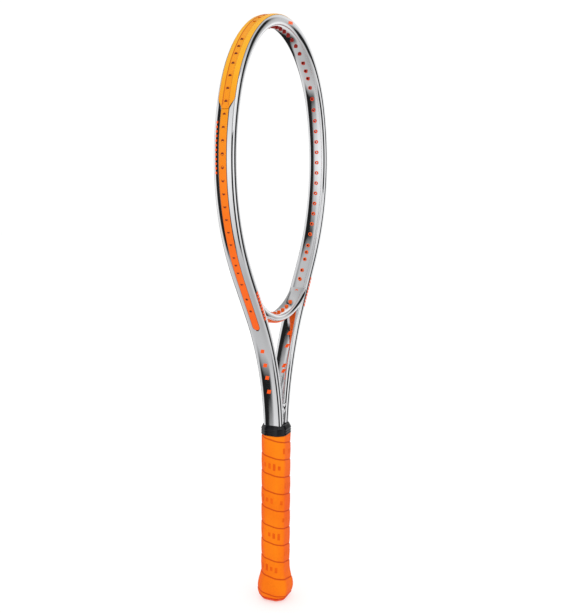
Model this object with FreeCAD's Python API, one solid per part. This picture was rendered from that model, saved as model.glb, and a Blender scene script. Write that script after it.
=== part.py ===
import FreeCAD, Part
import math
import os
from FreeCAD import Rotation, Vector

# Tennis racket frame, unstrung, with its grommets, guard and handle.
# Millimetres. The origin is the centre of the butt end, +Z runs to the tip of the head,
# X lies in the string plane and Y is across it. Every node is symmetric about X = 0,
# so each half outline below is drawn at +X and mirrored.

# ---- head and throat outline: the centreline of the frame tube -------------------------
OVERALL_LENGTH = 685.8
TUBE_THICKNESS = 12.8
TUBE_DEPTH = 23.0
TUBE_CORNER = 4.0
TUBE_WALL = 1.4
GUARD_STAND_OUT = 0.5
HOOP_ARCS = ((121.0, 30.4), (132.0, 39.4), (202.5, 48.2), (280.0, 6.9))
THROAT_RADIUS = 285.0
LEG_X = TUBE_THICKNESS / 2
LEG_END_Z = 9.0
APEX_Z = OVERALL_LENGTH - GUARD_STAND_OUT - TUBE_THICKNESS / 2

# How far a cutting tool runs past the faces it cuts.
OVERCUT = 5.0

# ---- web between the shafts, below the throat opening ----------------------------------
WEB_BASE_Z = 185.0
WEB_TOP_Z = 243.0
WEB_NOTCH_RADIUS = 5.0
WEB_HALF_WIDTH = 8.0
WEB_DEPTH = 20.0

# ---- bridge that closes the lower end of the hoop --------------------------------------
BRIDGE_INNER_Z = 351.5
BRIDGE_THICKNESS = 8.5
BRIDGE_DEPTH = 21.5
BRIDGE_CORNER = 2.6
BRIDGE_RADIUS = 103.5
BRIDGE_HALF_ANGLE = 54.0
BRIDGE_CAVITY_HALF_ANGLE = 27.0

# ---- string holes ----------------------------------------------------------------------
HOLE_RADIUS = 2.3
BARREL_RADIUS = 2.2
BARREL_BORE = 1.1
BARREL_STAND_OUT = 1.7
BARREL_ROOT = 0.4
TOP_HOLE_START = 5.3
TOP_HOLE_PITCH = 10.7
TOP_HOLE_GROWTH = 0.15
TOP_HOLE_COUNT = 6
SHOULDER_HOLE_Z = (645.0, 636.9, 628.9)
SIDE_HOLE_TOP_Z = 618.7
SIDE_HOLE_PITCH = 12.87
SIDE_HOLE_COUNT = 15
LOWER_HOLE_Z = (424.7, 416.5, 408.0, 395.0)
CORNER_HOLE_Z = (380.9, 366.7)
BRIDGE_HOLE_START = 5.8
BRIDGE_HOLE_PITCH = 11.4
BRIDGE_HOLE_COUNT = 4

# ---- outer groove, side strips and head guard ------------------------------------------
GROOVE_DEPTH = 1.6
GROOVE_CORNER = 0.3
GROOVE_HALF_WIDTH = 4.2
STRIP_HALF_WIDTH = 4.1
STRIP_RECESS = 0.3
STRIP_END_Z = 343.0
GUARD_HALF_WIDTH = 9.0
GUARD_SEAT_DEPTH = 0.9
GUARD_CHANNEL_HALF_WIDTH = 3.3
GUARD_CHANNEL_DEPTH = 0.9
GUARD_CORNER = 0.6
GUARD_END_Z = 573.5
GUARD_TAPER = ((1.6, 2.8), (4.0, 7.8), (4.9, 11.5))
JOINT_GAP = 0.2

# ---- grommet strip under the bridge ----------------------------------------------------
BRIDGE_STRIP_HALF_ANGLE = 24.5
BRIDGE_STRIP_HALF_WIDTH = 5.0
BRIDGE_STRIP_SEAT = 0.8
BRIDGE_STRIP_GAP = 0.05
BRIDGE_STRIP_THICKNESS = 2.8
BRIDGE_STRIP_CORNER = 0.8

# ---- handle ----------------------------------------------------------------------------
GRIP_HALF_X = 16.6
GRIP_HALF_Y = 15.4
BEVEL_X = 6.7
BEVEL_Y = 7.5
GRIP_TOP_Z = 206.7
WRAP_THICKNESS = 1.8
WRAP_CORNER = 3.0
PALLET_BOTTOM_Z = 4.0
PALLET_CORNER = 1.2
PALLET_SPLIT = 0.2
FLARE_GROWTH = 4.2
FLARE_WIDEST_Z = 14.5
FLARE_TOP_Z = 40.0
BUTT_ROUNDING = 9.0
FLARE_SECTION_COUNT = 14
CAP_INNER_EDGE = 2.0

# ---- butt cap, its door and the staples ------------------------------------------------
CAP_TOP_Z = 32.0
CAP_FLOOR = 4.0
CAP_LIP_Z = 5.0
LIP_OVERLAP = 1.0
DOOR_X = 20.0
DOOR_Y = 15.0
DOOR_CORNER = 4.0
DOOR_PLATE = 1.6
DOOR_SKIRT_TOP_Z = 7.5
DOOR_SKIRT_WALL = 1.2
DOOR_GAP = 0.1
DOOR_NOTCH = (6.0, 1.2, 1.0)
STAPLE_CROWN = 9.0
STAPLE_WIRE = 1.2
STAPLE_CROWN_THICKNESS = 0.6
STAPLE_LEG = 4.8
CAP_STAPLE_Z = 24.0
WRAP_STAPLE_Z = 12.0

# ---- collar and the finishing tape under it --------------------------------------------
COLLAR_BOTTOM_Z = 207.0
COLLAR_TOP_Z = 219.3
COLLAR_GROWTH = 0.4
COLLAR_CHAMFER_X = 2.2
COLLAR_CHAMFER_Z = 5.0
COLLAR_GROOVE_Z = (209.0, 211.9)
COLLAR_GROOVE_HEIGHT = 1.0
COLLAR_GROOVE_DEPTH = 0.5
TAPE_TOP_Z = 217.0
TAPE_HALF_X = 14.4
TAPE_HALF_Y = 12.3
TAPE_CORNER = 4.6
TAPE_GAP = 0.05


# ======================================= outline tools ==================================
def rounded_polygon(points, radius, z=0.0):
    """A closed wire through convex corner points, each corner rounded to one radius."""
    count = len(points)
    edges = []
    tangents = []
    for i in range(count):
        corner = Vector(points[i][0], points[i][1], z)
        before = Vector(points[i - 1][0], points[i - 1][1], z) - corner
        after = Vector(points[(i + 1) % count][0], points[(i + 1) % count][1], z) - corner
        before.normalize()
        after.normalize()
        half = before.getAngle(after) / 2
        bisector = (before + after).normalize()
        centre = corner + bisector * (radius / math.sin(half))
        reach = radius / math.tan(half)
        tangents.append((corner + before * reach, centre - bisector * radius, corner + after * reach))
    for i in range(count):
        start, middle, end = tangents[i]
        edges.append(Part.Arc(start, middle, end).toShape())
        edges.append(Part.makeLine(end, tangents[(i + 1) % count][0]))
    return Part.Wire(edges)


def rectangle_points(x_low, x_high, y_low, y_high):
    return [(x_low, y_low), (x_high, y_low), (x_high, y_high), (x_low, y_high)]


def rounded_bar(half_x, half_y, radius, z_low, z_high):
    """A vertical bar with a rounded rectangular section."""
    wire = rounded_polygon(rectangle_points(-half_x, half_x, -half_y, half_y), radius, z_low)
    return Part.Face(wire).extrude(Vector(0, 0, z_high - z_low))


def mirror_x(shape):
    return shape.mirror(Vector(0, 0, 0), Vector(1, 0, 0))


def both_sides(shape):
    return [shape, mirror_x(shape)]


def join(shapes):
    """Fuse into one solid and merge faces that share a surface."""
    joined = shapes[0]
    if len(shapes) > 1:
        joined = shapes[0].multiFuse(shapes[1:])
    return joined.removeSplitter()


# ================================== the tube's centreline ===============================
class Segment:
    """One arc or straight of the half outline. Heading 0 runs along +X, 90 along -Z."""

    def __init__(self, x, z, heading, length, radius=None, bend=0):
        self.x = x
        self.z = z
        self.heading = heading
        self.length = length
        self.radius = radius
        self.bend = bend

    def heading_at(self, distance):
        if self.radius is None:
            return self.heading
        return self.heading + self.bend * math.degrees(distance / self.radius)

    def centre(self):
        angle = math.radians(self.heading)
        reach = self.bend * self.radius
        return self.x - reach * math.sin(angle), self.z - reach * math.cos(angle)

    def point_at(self, distance):
        if self.radius is None:
            angle = math.radians(self.heading)
            return self.x + distance * math.cos(angle), self.z - distance * math.sin(angle)
        centre_x, centre_z = self.centre()
        angle = math.radians(self.heading_at(distance))
        reach = self.bend * self.radius
        return centre_x + reach * math.sin(angle), centre_z + reach * math.cos(angle)

    def part(self, start, end):
        x, z = self.point_at(start)
        return Segment(x, z, self.heading_at(start), end - start, self.radius, self.bend)


def half_outline():
    """The centreline from the tip of the head to the foot of one handle leg."""
    segments = []
    x, z, heading = 0.0, APEX_Z, 0.0
    for radius, angle in HOOP_ARCS:
        segments.append(Segment(x, z, heading, radius * math.radians(angle), radius, 1))
        x, z = segments[-1].point_at(segments[-1].length)
        heading += angle
    turn = heading - 90.0
    drop_in = THROAT_RADIUS * (1 - math.cos(math.radians(turn)))
    straight = (x - LEG_X - drop_in) / math.sin(math.radians(turn))
    segments.append(Segment(x, z, heading, straight))
    x, z = segments[-1].point_at(straight)
    segments.append(Segment(x, z, heading, THROAT_RADIUS * math.radians(turn), THROAT_RADIUS, -1))
    x, z = segments[-1].point_at(segments[-1].length)
    segments.append(Segment(LEG_X, z, 90.0, z - LEG_END_Z))
    return segments


OUTLINE = half_outline()


def outline_length():
    return sum(segment.length for segment in OUTLINE)


def station(distance):
    """Centreline point and heading at a distance from the tip of the head."""
    for segment in OUTLINE:
        if distance <= segment.length:
            x, z = segment.point_at(distance)
            return x, z, segment.heading_at(distance)
        distance -= segment.length
    x, z = OUTLINE[-1].point_at(OUTLINE[-1].length)
    return x, z, 90.0


def distance_at_height(z, offset=0.0):
    """Distance along the outline where the line at this offset from the tube's centre has height z."""
    low, high = 0.0, outline_length()
    for _ in range(60):
        middle = (low + high) / 2
        point_x, point_z, heading = station(middle)
        if point_z + offset * math.cos(math.radians(heading)) > z:
            low = middle
        else:
            high = middle
    return (low + high) / 2


def x_at_height(z, offset):
    """Half width of the line at this offset from the tube's centre, at height z."""
    x, _, heading = station(distance_at_height(z, offset))
    return x + offset * math.sin(math.radians(heading))


def height_at_x(x, offset):
    """Height of the line at this offset, above the widest place, at half width x."""
    low, high = 0.0, HOOP_ARCS[0][0] + HOOP_ARCS[1][0] / 2
    for _ in range(60):
        middle = (low + high) / 2
        point_x, _, heading = station(middle)
        if point_x + offset * math.sin(math.radians(heading)) < x:
            low = middle
        else:
            high = middle
    _, z, heading = station(low)
    return z + offset * math.cos(math.radians(heading))


def stretch(start, end):
    """The pieces of the outline between two distances from the tip."""
    pieces = []
    travelled = 0.0
    for segment in OUTLINE:
        low = max(start - travelled, 0.0)
        high = min(end - travelled, segment.length)
        if high - low > 1e-6:
            pieces.append(segment.part(low, high))
        travelled += segment.length
    return pieces


def sweep(wire, pieces):
    """Carry a section along outline pieces. Its X is the outward normal and its Y stays Y."""
    solids = []
    for piece in pieces:
        section = Part.Face(wire.copy())
        section.rotate(Vector(0, 0, 0), Vector(0, 1, 0), piece.heading - 90.0)
        section.translate(Vector(piece.x, 0, piece.z))
        if piece.radius is None:
            angle = math.radians(piece.heading)
            run = Vector(math.cos(angle), 0, -math.sin(angle)) * piece.length
            solids.append(section.extrude(run))
        else:
            centre_x, centre_z = piece.centre()
            turn = math.degrees(piece.length / piece.radius)
            axis = Vector(0, piece.bend, 0)
            solids.append(section.revolve(Vector(centre_x, 0, centre_z), axis, turn))
    return solids


def sweep_both(wire, start, end):
    """The same sweep on both halves, fused where they meet."""
    solids = sweep(wire, stretch(start, end))
    return join(solids + [mirror_x(solid) for solid in solids])


# ====================================== string holes ====================================
class StringHole:
    """A straight hole: its outer end, the way in, and the length through the frame."""

    def __init__(self, outer_x, outer_z, way_x, way_z, length):
        self.outer = Vector(outer_x, 0, outer_z)
        self.way = Vector(way_x, 0, way_z)
        self.length = length

    def rod(self, radius, before, after):
        start = self.outer - self.way * before
        return Part.makeCylinder(radius, self.length + before + after, start, self.way)


def side_hole(z):
    outer = x_at_height(z, TUBE_THICKNESS / 2)
    inner = x_at_height(z, -TUBE_THICKNESS / 2)
    return StringHole(outer, z, -1, 0, outer - inner)


def top_hole(x):
    outer = height_at_x(x, TUBE_THICKNESS / 2)
    inner = height_at_x(x, -TUBE_THICKNESS / 2)
    return StringHole(x, outer, 0, -1, outer - inner)


def corner_hole(z):
    """A hole square to the tube, where the hoop meets the shaft."""
    x, z, heading = station(distance_at_height(z))
    angle = math.radians(heading)
    out_x, out_z = math.sin(angle), math.cos(angle)
    reach = TUBE_THICKNESS / 2
    return StringHole(x + out_x * reach, z + out_z * reach, -out_x, -out_z, TUBE_THICKNESS)


def bridge_centre_z():
    return BRIDGE_INNER_Z - BRIDGE_THICKNESS / 2 + BRIDGE_RADIUS


def bridge_hole(x):
    low_radius = BRIDGE_RADIUS + BRIDGE_THICKNESS / 2
    high_radius = BRIDGE_RADIUS - BRIDGE_THICKNESS / 2
    low_z = bridge_centre_z() - math.sqrt(low_radius ** 2 - x ** 2)
    high_z = bridge_centre_z() - math.sqrt(high_radius ** 2 - x ** 2)
    return StringHole(x, low_z, 0, 1, high_z - low_z)


def side_hole_heights():
    even = [SIDE_HOLE_TOP_Z - SIDE_HOLE_PITCH * i for i in range(SIDE_HOLE_COUNT)]
    return list(SHOULDER_HOLE_Z) + even + list(LOWER_HOLE_Z)


def top_hole_places():
    return [TOP_HOLE_START + TOP_HOLE_PITCH * i + TOP_HOLE_GROWTH * i * i for i in range(TOP_HOLE_COUNT)]


TOP_HOLES = [top_hole(x) for x in top_hole_places()]
SIDE_HOLES = [side_hole(z) for z in side_hole_heights()]
CORNER_HOLES = [corner_hole(z) for z in CORNER_HOLE_Z]
BRIDGE_HOLES = [bridge_hole(BRIDGE_HOLE_START + BRIDGE_HOLE_PITCH * i) for i in range(BRIDGE_HOLE_COUNT)]


def drill(holes):
    """The drills for the string holes on both halves."""
    rods = [hole.rod(HOLE_RADIUS, OVERCUT, OVERCUT) for hole in holes]
    return rods + [mirror_x(rod) for rod in rods]


def barrels(holes, seat_depth):
    """Grommet barrels that start in a band seated this deep and stand out past the inner face."""
    sunk = seat_depth - BARREL_ROOT
    return [hole.rod(BARREL_RADIUS, -sunk, BARREL_STAND_OUT) for hole in holes]


def barrel_bores(holes):
    return [hole.rod(BARREL_BORE, OVERCUT, BARREL_STAND_OUT + OVERCUT) for hole in holes]


# ======================================== the frame =====================================
def section_wire(inner, outer, half_depth, radius):
    return rounded_polygon(rectangle_points(inner, outer, -half_depth, half_depth), radius)


def tube_envelope():
    """The outside of the hairpin tube with the web that joins its shafts."""
    half = TUBE_THICKNESS / 2
    wire = section_wire(-half, half, TUBE_DEPTH / 2, TUBE_CORNER)
    solids = sweep(wire, OUTLINE)
    web = Part.makeBox(2 * WEB_HALF_WIDTH, WEB_DEPTH, WEB_TOP_Z - WEB_BASE_Z,
                       Vector(-WEB_HALF_WIDTH, -WEB_DEPTH / 2, WEB_BASE_Z))
    notch = Part.makeCylinder(WEB_NOTCH_RADIUS, WEB_DEPTH + 2 * OVERCUT,
                              Vector(0, -WEB_DEPTH / 2 - OVERCUT, WEB_TOP_Z), Vector(0, 1, 0))
    return join(solids + [mirror_x(solid) for solid in solids] + [web.cut(notch)])


def tube_cavity():
    """The hollow inside: one run for the hoop and both shafts, open at the feet."""
    half = TUBE_THICKNESS / 2
    wire = section_wire(-half + TUBE_WALL, half - GROOVE_DEPTH - TUBE_WALL,
                        TUBE_DEPTH / 2 - TUBE_WALL, TUBE_CORNER - TUBE_WALL)
    solids = sweep(wire, OUTLINE)
    foot = solids[-1].copy()
    foot.translate(Vector(0, 0, -OVERCUT))
    solids.append(foot)
    return join(solids + [mirror_x(solid) for solid in solids])


def strip_end_distance():
    return distance_at_height(STRIP_END_Z, TUBE_THICKNESS / 2)


def guard_end_distance():
    return distance_at_height(GUARD_END_Z, TUBE_THICKNESS / 2)


def rounded_end(half_width, low, high):
    """The round end of a band on the straight of the shaft, as a disc across the tube's normal."""
    x, z, heading = station(strip_end_distance())
    angle = math.radians(heading)
    way = Vector(math.sin(angle), 0, math.cos(angle))
    return Part.makeCylinder(half_width, high - low, Vector(x, 0, z) + way * low, way)


def outer_groove():
    half = TUBE_THICKNESS / 2
    wire = section_wire(half - GROOVE_DEPTH, half + OVERCUT, GROOVE_HALF_WIDTH, GROOVE_CORNER)
    end = rounded_end(GROOVE_HALF_WIDTH, half - GROOVE_DEPTH, half + OVERCUT)
    return join([sweep_both(wire, 0.0, strip_end_distance())] + both_sides(end))


def guard_prism():
    """Side view of the head guard: full width, then drawn in to the strip at its lower ends."""
    front = [(STRIP_HALF_WIDTH, GUARD_END_Z)]
    front += [(STRIP_HALF_WIDTH + out, GUARD_END_Z + rise) for out, rise in GUARD_TAPER]
    front.append((GUARD_HALF_WIDTH, OVERALL_LENGTH + OVERCUT))
    back = [(-y, z) for y, z in reversed(front)]
    corners = [Vector(-OVERALL_LENGTH, y, z) for y, z in front + back]
    face = Part.Face(Part.makePolygon(corners + [corners[0]]))
    return face.extrude(Vector(2 * OVERALL_LENGTH, 0, 0))


def guard_lands():
    """The wide outer band of the guard, before its string channel is cut."""
    half = TUBE_THICKNESS / 2
    wire = section_wire(half - GUARD_SEAT_DEPTH, half + GUARD_STAND_OUT, GUARD_HALF_WIDTH, GUARD_CORNER)
    band = sweep_both(wire, 0.0, guard_end_distance() + OVERCUT)
    return band.common(guard_prism())


def frame_tube():
    frame = tube_envelope().cut(tube_cavity())
    frame = frame.cut(outer_groove())
    frame = frame.cut(guard_lands())
    return frame.cut(drill(TOP_HOLES + SIDE_HOLES + CORNER_HOLES))


def throat_bridge(envelope):
    """The curved hollow piece bonded between the shafts."""
    half = BRIDGE_THICKNESS / 2
    outer_wire = section_wire(-half, half, BRIDGE_DEPTH / 2, BRIDGE_CORNER)
    cavity_wire = section_wire(-half + TUBE_WALL, half - TUBE_WALL - BRIDGE_STRIP_SEAT,
                               BRIDGE_DEPTH / 2 - TUBE_WALL, BRIDGE_CORNER - TUBE_WALL)
    body = bridge_sweep(outer_wire, BRIDGE_HALF_ANGLE)
    body = body.cut(bridge_sweep(cavity_wire, BRIDGE_CAVITY_HALF_ANGLE))
    body = body.cut(bridge_sweep(bridge_seat_wire(), BRIDGE_STRIP_HALF_ANGLE))
    body = body.cut(envelope)
    return body.cut(drill(BRIDGE_HOLES + CORNER_HOLES))


def bridge_sweep(wire, half_angle):
    """A section carried round the bridge arc, centred below the hoop. Its X points down."""
    section = Part.Face(wire.copy())
    section.rotate(Vector(0, 0, 0), Vector(0, 1, 0), 90.0)
    section.translate(Vector(0, 0, bridge_centre_z() - BRIDGE_RADIUS))
    section.rotate(Vector(0, 0, bridge_centre_z()), Vector(0, 1, 0), -half_angle)
    return section.revolve(Vector(0, 0, bridge_centre_z()), Vector(0, 1, 0), 2 * half_angle)


def bridge_seat_wire():
    half = BRIDGE_THICKNESS / 2
    edge = BRIDGE_STRIP_HALF_WIDTH + BRIDGE_STRIP_GAP
    return section_wire(half - BRIDGE_STRIP_SEAT, half + OVERCUT, edge, GROOVE_CORNER)


# =================================== guard and grommets =================================
def bumper_guard():
    half = TUBE_THICKNESS / 2
    floor = half - GROOVE_DEPTH
    channel_floor = half + GUARD_STAND_OUT - GUARD_CHANNEL_DEPTH
    base_wire = section_wire(floor, channel_floor, STRIP_HALF_WIDTH, GROOVE_CORNER)
    channel_wire = section_wire(channel_floor, half + OVERCUT, GUARD_CHANNEL_HALF_WIDTH, GROOVE_CORNER)
    end = guard_end_distance()
    lands = guard_lands().cut(sweep_both(channel_wire, 0.0, end + 2 * OVERCUT))
    base = sweep_both(base_wire, 0.0, end)
    holes = TOP_HOLES + [hole for hole in SIDE_HOLES if hole.outer.z > GUARD_END_Z]
    tubes = barrels(holes, GROOVE_DEPTH)
    guard = join([lands, base] + tubes + [mirror_x(tube) for tube in tubes])
    bores = barrel_bores(holes)
    return guard.cut(bores + [mirror_x(bore) for bore in bores])


def side_strip():
    """The narrow strip down one side of the hoop, with its barrels, at +X."""
    half = TUBE_THICKNESS / 2
    floor = half - GROOVE_DEPTH
    top = half - STRIP_RECESS
    wire = section_wire(floor, top, STRIP_HALF_WIDTH, GROOVE_CORNER)
    band = join(sweep(wire, stretch(guard_end_distance() + JOINT_GAP, strip_end_distance()))
                + [rounded_end(STRIP_HALF_WIDTH, floor, top)])
    holes = [hole for hole in SIDE_HOLES if hole.outer.z < GUARD_END_Z] + CORNER_HOLES
    strip = join([band] + barrels(holes, GROOVE_DEPTH))
    return strip.cut(barrel_bores(holes))


def bridge_strip():
    half = BRIDGE_THICKNESS / 2
    low = half - BRIDGE_STRIP_SEAT
    wire = section_wire(low, low + BRIDGE_STRIP_THICKNESS, BRIDGE_STRIP_HALF_WIDTH, BRIDGE_STRIP_CORNER)
    band = bridge_sweep(wire, BRIDGE_STRIP_HALF_ANGLE)
    tubes = barrels(BRIDGE_HOLES, BRIDGE_STRIP_SEAT)
    strip = join([band] + tubes + [mirror_x(tube) for tube in tubes])
    bores = barrel_bores(BRIDGE_HOLES)
    return strip.cut(bores + [mirror_x(bore) for bore in bores])


# ======================================== the handle ====================================
def octagon_wire(growth, z, corner):
    """The grip's eight-sided outline, grown outward evenly, with rounded corners."""
    slope = math.hypot(BEVEL_X, BEVEL_Y)
    normal_x = BEVEL_Y / slope
    normal_y = BEVEL_X / slope
    reach = GRIP_HALF_X * normal_x + (GRIP_HALF_Y - BEVEL_Y) * normal_y + growth
    half_x = GRIP_HALF_X + growth
    half_y = GRIP_HALF_Y + growth
    side_y = (reach - half_x * normal_x) / normal_y
    face_x = (reach - half_y * normal_y) / normal_x
    quarter = [(half_x, side_y), (face_x, half_y)]
    points = quarter + [(-x, y) for x, y in reversed(quarter)]
    points += [(-x, -y) for x, y in points]
    return rounded_polygon(points, corner, z)


def flare(z):
    """How far the butt end stands out past the straight grip at height z."""
    if z >= FLARE_TOP_Z:
        return 0.0
    if z >= FLARE_WIDEST_Z:
        turn = math.pi * (z - FLARE_WIDEST_Z) / (FLARE_TOP_Z - FLARE_WIDEST_Z)
        return FLARE_GROWTH * (1 + math.cos(turn)) / 2
    fall = (FLARE_WIDEST_Z - z) / FLARE_WIDEST_Z
    return FLARE_GROWTH - BUTT_ROUNDING * (1 - math.sqrt(max(0.0, 1 - fall ** 2)))


def flared_block(inset, corner, z_low, z_high):
    """The flared grip between two heights, its sections closer together near the lower one."""
    wires = []
    for i in range(FLARE_SECTION_COUNT):
        z = z_low + (z_high - z_low) * (i / (FLARE_SECTION_COUNT - 1)) ** 2
        wires.append(octagon_wire(flare(z) - inset, z, corner))
    return Part.makeLoft(wires, True, False)


def straight_block(inset, corner, z_low, z_high):
    return Part.Face(octagon_wire(-inset, z_low, corner)).extrude(Vector(0, 0, z_high - z_low))


def legs_bar(z_low, z_high):
    """The space the two bonded handle legs take up."""
    half = TUBE_THICKNESS / 2
    wire = section_wire(-half, half, TUBE_DEPTH / 2, TUBE_CORNER)
    wire.translate(Vector(LEG_X, 0, z_low))
    leg = Part.Face(wire).extrude(Vector(0, 0, z_high - z_low))
    return join(both_sides(leg))


def handle_pallets(envelope, staples):
    """Two foam halves that give the legs their eight-sided handle."""
    block = straight_block(WRAP_THICKNESS, PALLET_CORNER, PALLET_BOTTOM_Z, GRIP_TOP_Z)
    core = legs_bar(PALLET_BOTTOM_Z - OVERCUT, LEG_END_Z)
    block = block.cut([core, envelope] + staples)
    size = 2 * GRIP_TOP_Z
    front = Part.makeBox(size, size, size, Vector(-size / 2, -size - PALLET_SPLIT / 2, 0))
    back = Part.makeBox(size, size, size, Vector(-size / 2, PALLET_SPLIT / 2, 0))
    return block.common(front), block.common(back)


def cap_neck():
    """The part of the butt cap that the wrap covers."""
    return flared_block(WRAP_THICKNESS, CAP_INNER_EDGE, CAP_LIP_Z - LIP_OVERLAP, CAP_TOP_Z)


def butt_cap(staples):
    lip = flared_block(0, WRAP_CORNER, 0, CAP_LIP_Z)
    cavity = straight_block(WRAP_THICKNESS, PALLET_CORNER, CAP_FLOOR, CAP_TOP_Z + OVERCUT)
    opening = rounded_bar(DOOR_X / 2 + DOOR_GAP, DOOR_Y / 2 + DOOR_GAP, DOOR_CORNER + DOOR_GAP,
                          -OVERCUT, CAP_FLOOR + OVERCUT)
    return join([lip, cap_neck()]).cut([cavity, opening] + staples)


def butt_cap_door():
    """A push-fit plug: a plate with a skirt, and a notch to lever it out."""
    body = rounded_bar(DOOR_X / 2, DOOR_Y / 2, DOOR_CORNER, 0, DOOR_SKIRT_TOP_Z)
    hollow = rounded_bar(DOOR_X / 2 - DOOR_SKIRT_WALL, DOOR_Y / 2 - DOOR_SKIRT_WALL,
                         DOOR_CORNER - DOOR_SKIRT_WALL, DOOR_PLATE, DOOR_SKIRT_TOP_Z + OVERCUT)
    length, width, depth = DOOR_NOTCH
    notch = Part.makeBox(length, width, depth, Vector(-length / 2, -DOOR_Y / 2, 0))
    return body.cut([hollow, notch])


def staple(surface, height):
    """A U-shaped staple driven along -X from a surface, its crown along Y."""
    half = STAPLE_CROWN / 2
    low = height - STAPLE_WIRE / 2
    crown = Part.makeBox(STAPLE_CROWN_THICKNESS, STAPLE_CROWN, STAPLE_WIRE,
                         Vector(surface - STAPLE_CROWN_THICKNESS, -half, low))
    legs = []
    for y in (-half, half - STAPLE_WIRE):
        leg = Part.makeBox(STAPLE_LEG, STAPLE_WIRE, STAPLE_WIRE, Vector(surface - STAPLE_LEG, y, low))
        legs.append(leg)
    return join([crown] + legs)


def cap_staples():
    surface = GRIP_HALF_Y - WRAP_THICKNESS + flare(CAP_STAPLE_Z)
    pair = []
    for turn in (90, -90):
        piece = staple(surface, CAP_STAPLE_Z)
        piece.rotate(Vector(0, 0, 0), Vector(0, 0, 1), turn)
        pair.append(piece)
    return pair


def wrap_staple():
    """Pins the start of the wrap to the cap, under the wrap's own overlap."""
    surface = GRIP_HALF_X - WRAP_THICKNESS / 2 + flare(WRAP_STAPLE_Z)
    return staple(surface, WRAP_STAPLE_Z)


def grip_wrap(staples):
    lower = flared_block(0, WRAP_CORNER, CAP_LIP_Z, FLARE_TOP_Z)
    upper = straight_block(0, WRAP_CORNER, FLARE_TOP_Z, GRIP_TOP_Z)
    pallets = straight_block(WRAP_THICKNESS, PALLET_CORNER, PALLET_BOTTOM_Z, GRIP_TOP_Z + OVERCUT)
    return join([lower, upper]).cut([cap_neck(), pallets] + staples)


def finishing_tape(envelope):
    bar = rounded_bar(TAPE_HALF_X, TAPE_HALF_Y, TAPE_CORNER, COLLAR_BOTTOM_Z, TAPE_TOP_Z)
    return bar.cut(envelope)


def grip_collar():
    """The rubber ring at the top of the grip, with grooves round it and its top edge drawn in."""
    top_inset = COLLAR_CHAMFER_X - COLLAR_GROWTH
    chamfer_z = COLLAR_TOP_Z - COLLAR_CHAMFER_Z
    straight = straight_block(-COLLAR_GROWTH, WRAP_CORNER, COLLAR_BOTTOM_Z, chamfer_z)
    cone = Part.makeLoft([octagon_wire(COLLAR_GROWTH, chamfer_z, WRAP_CORNER),
                          octagon_wire(-top_inset, COLLAR_TOP_Z, WRAP_CORNER)], True, True)
    bore = rounded_bar(TAPE_HALF_X + TAPE_GAP, TAPE_HALF_Y + TAPE_GAP, TAPE_CORNER + TAPE_GAP,
                       COLLAR_BOTTOM_Z - OVERCUT, COLLAR_TOP_Z + OVERCUT)
    collar = join([straight, cone]).cut(bore)
    for z in COLLAR_GROOVE_Z:
        ring = straight_block(-COLLAR_GROWTH - OVERCUT, WRAP_CORNER, z, z + COLLAR_GROOVE_HEIGHT)
        kept = straight_block(COLLAR_GROOVE_DEPTH - COLLAR_GROWTH, WRAP_CORNER,
                              z - OVERCUT, z + COLLAR_GROOVE_HEIGHT + OVERCUT)
        collar = collar.cut(ring.cut(kept))
    return collar


# ======================================== the output ====================================
def write(node, shapes):
    """Check that a node is made of closed, valid solids, and write its STEP file."""
    solids = [solid for shape in shapes for solid in shape.Solids]
    shape = solids[0] if len(solids) == 1 else Part.makeCompound(solids)
    box = shape.BoundBox
    print("%-24s solids %d valid %s volume %9.1f  x %.1f..%.1f y %.1f..%.1f z %.1f..%.1f" % (
        node, len(solids), all(solid.isValid() for solid in solids), shape.Volume,
        box.XMin, box.XMax, box.YMin, box.YMax, box.ZMin, box.ZMax))
    shape.exportStep("parts/" + node + ".step")


os.makedirs("parts", exist_ok=True)
tube_outside = tube_envelope()
cap_pins = cap_staples()
wrap_pin = wrap_staple()
cap = butt_cap(cap_pins + [wrap_pin])
pallet_front, pallet_back = handle_pallets(tube_outside, cap_pins)

write("frame_tube", [frame_tube()])
write("throat_bridge", [throat_bridge(tube_outside)])
write("bumper_guard", [bumper_guard()])
write("grommet_strip_right", [side_strip()])
write("grommet_strip_left", [mirror_x(side_strip())])
write("bridge_grommet_strip", [bridge_strip()])
write("handle_pallet_front", [pallet_front])
write("handle_pallet_back", [pallet_back])
write("butt_cap", [cap])
write("butt_cap_door", [butt_cap_door()])
write("butt_cap_staples", cap_pins)
write("grip_wrap", [grip_wrap(cap_pins + [wrap_pin])])
write("grip_wrap_staple", [wrap_pin])
write("finishing_tape", [finishing_tape(tube_outside)])
write("grip_collar", [grip_collar()])
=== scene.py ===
import math

import bpy
import numpy as np
from mathutils import Matrix, Vector


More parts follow.
